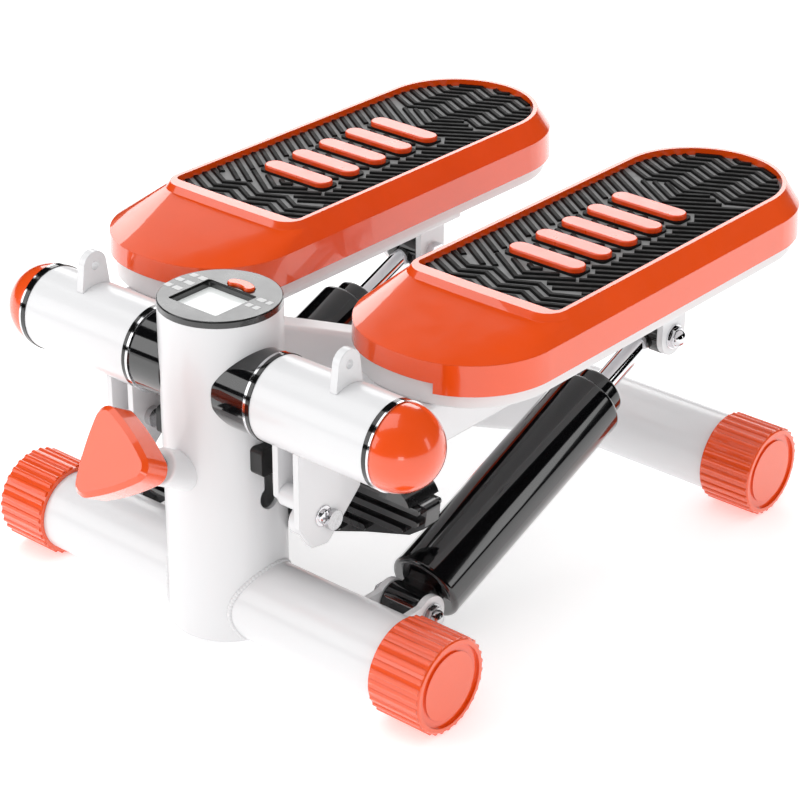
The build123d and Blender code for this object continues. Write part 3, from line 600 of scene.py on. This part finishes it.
# ------------------------------------------------------------------ materials on the CAD nodes
mat_rubber = mat_material()
chrome = metal_material("chrome", CHROME, 0.06, (1.0, 6.0, 6.0), 300.0, 0.06)
zinc = metal_material("zinc_steel", (0.62, 0.62, 0.63), 0.20, (8.0, 1.0, 1.0), 500.0, 0.15)
rings = ring_material()
rods = rod_material()
slots = {"frame_white": frame_white, "tray_white": tray_white, "orange_plastic": orange_plastic,
         "orange_rubber": orange_rubber, "mat_rubber": black_rubber, "black_gloss": black_gloss,
         "black_plastic": black_plastic, "black_steel": black_steel, "chrome": chrome, "zinc_steel": zinc,
         "bush_nylon": bush_nylon, "bezel_grey": bezel_grey, "display_glass": display_material(),
         "board_green": board_green}
for entry in frame["record"]["subparts"]:
    node = entry["node"]
    shader = slots[entry["material_slot"]]
    if node.startswith("hub_rings"):
        shader = rings
    if node.startswith("piston_rod"):
        shader = rods
    data = NODES[node].data
    if not data.materials:
        data.materials.append(shader.mat)
    for index in range(len(data.materials)):
        data.materials[index] = shader.mat

for side, _ in SIDES:
    ribbed_mat(side)
bezel_marks()
for side, sign in SIDES:
    saddle_weld(side, sign)
for side, sign in SIDES:
    lug_screw(side, sign)


# ------------------------------------------------------------------ floor, light and camera
FLOOR_REACH = 14.0


def stage_floor():
    """A large pale floor under the object."""
    mesh = bpy.data.meshes.new("studio_floor")
    corners = [(x * FLOOR_REACH, y * FLOOR_REACH, 0) for x, y in ((-1, -1), (1, -1), (1, 1), (-1, 1))]
    mesh.from_pydata(corners, [], [(0, 1, 2, 3)])
    floor = bpy.data.objects.new("studio_floor", mesh)
    bpy.context.scene.collection.objects.link(floor)
    s = Shader("studio_floor")
    s.set(Base_Color=(0.90, 0.90, 0.90, 1.0), Roughness=s.remap(s.noise(6.0), 0.72, 0.82),
          Emission_Color=(1.0, 1.0, 1.0, 1.0), Emission_Strength=0.45)
    mesh.materials.append(s.mat)


def softbox(name, at, aim, width, height, radiance):
    """A white rectangular light that the camera doesn't see."""
    light = bpy.data.lights.new(name, "AREA")
    light.shape = "RECTANGLE"
    light.size, light.size_y = width, height
    light.energy = radiance * math.pi * width * height
    lamp = bpy.data.objects.new(name, light)
    lamp.location = at
    lamp.rotation_euler = (Vector(aim) - Vector(at)).to_track_quat("-Z", "Y").to_euler()
    lamp.visible_camera = False
    bpy.context.scene.collection.objects.link(lamp)


def studio_world():
    """Even white fill that only matt surfaces pick up."""
    world = bpy.data.worlds.new("studio")
    world.use_nodes = True
    background = world.node_tree.nodes["Background"]
    background.inputs["Color"].default_value = (1.0, 1.0, 1.0, 1.0)
    background.inputs["Strength"].default_value = 0.75
    world.cycles_visibility.glossy = False
    bpy.context.scene.world = world


stage_floor()
studio_world()
middle = (0.0, 0.0, 0.12)
softbox("back_card", (-1.70, 2.05, 1.30), middle, 2.2, 0.9, 2.7)
softbox("top_box", (-0.75, -0.45, 2.2), middle, 1.7, 1.7, 1.5)
softbox("front_left_box", (-1.25, -1.75, 0.95), middle, 1.3, 1.0, 2.0)
softbox("right_strip", (2.2, 0.9, 0.75), middle, 0.35, 1.0, 2.0)
softbox("front_right_strip", (1.75, -1.9, 0.10), middle, 0.55, 0.45, 3.0)

AZIMUTH, ELEVATION, ROLL = (math.radians(a) for a in (39.5518, 27.38996, 0.58801))
DISTANCE = 1.490296
LENS = 110.3701
SHIFT = (-0.03835, 0.00884)
AIM_BEHIND_FRONT_TUBE = 0.150
AIM_HEIGHT = 0.100
AIM_RIGHT = 0.020027
AIM_DOWN = 0.01394


def place_camera():
    """A long lens from the front right, aimed a little behind the front cross tube."""
    back = Vector((math.sin(AZIMUTH) * math.cos(ELEVATION), -math.cos(AZIMUTH) * math.cos(ELEVATION),
                   math.sin(ELEVATION)))
    flat_right = Vector((math.cos(AZIMUTH), math.sin(AZIMUTH), 0))
    flat_up = back.cross(flat_right)
    right = flat_right * math.cos(ROLL) + flat_up * math.sin(ROLL)
    up = -flat_right * math.sin(ROLL) + flat_up * math.cos(ROLL)
    tube_low, tube_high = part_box("front_crossbar")
    front_y = (tube_low.y + tube_high.y) / 2
    target = Vector((0, front_y + AIM_BEHIND_FRONT_TUBE, AIM_HEIGHT))
    target += flat_right * AIM_RIGHT - flat_up * AIM_DOWN
    data = bpy.data.cameras.new("camera")
    data.sensor_width = 36.0
    data.lens = LENS
    data.shift_x, data.shift_y = SHIFT
    data.clip_start = 0.05
    camera = bpy.data.objects.new("camera", data)
    basis = Matrix((right, up, back)).transposed().to_4x4()
    camera.matrix_world = Matrix.Translation(target + back * DISTANCE) @ basis
    bpy.context.scene.collection.objects.link(camera)
    bpy.context.scene.camera = camera


place_camera()
bpy.context.scene.view_settings.view_transform = "Standard"
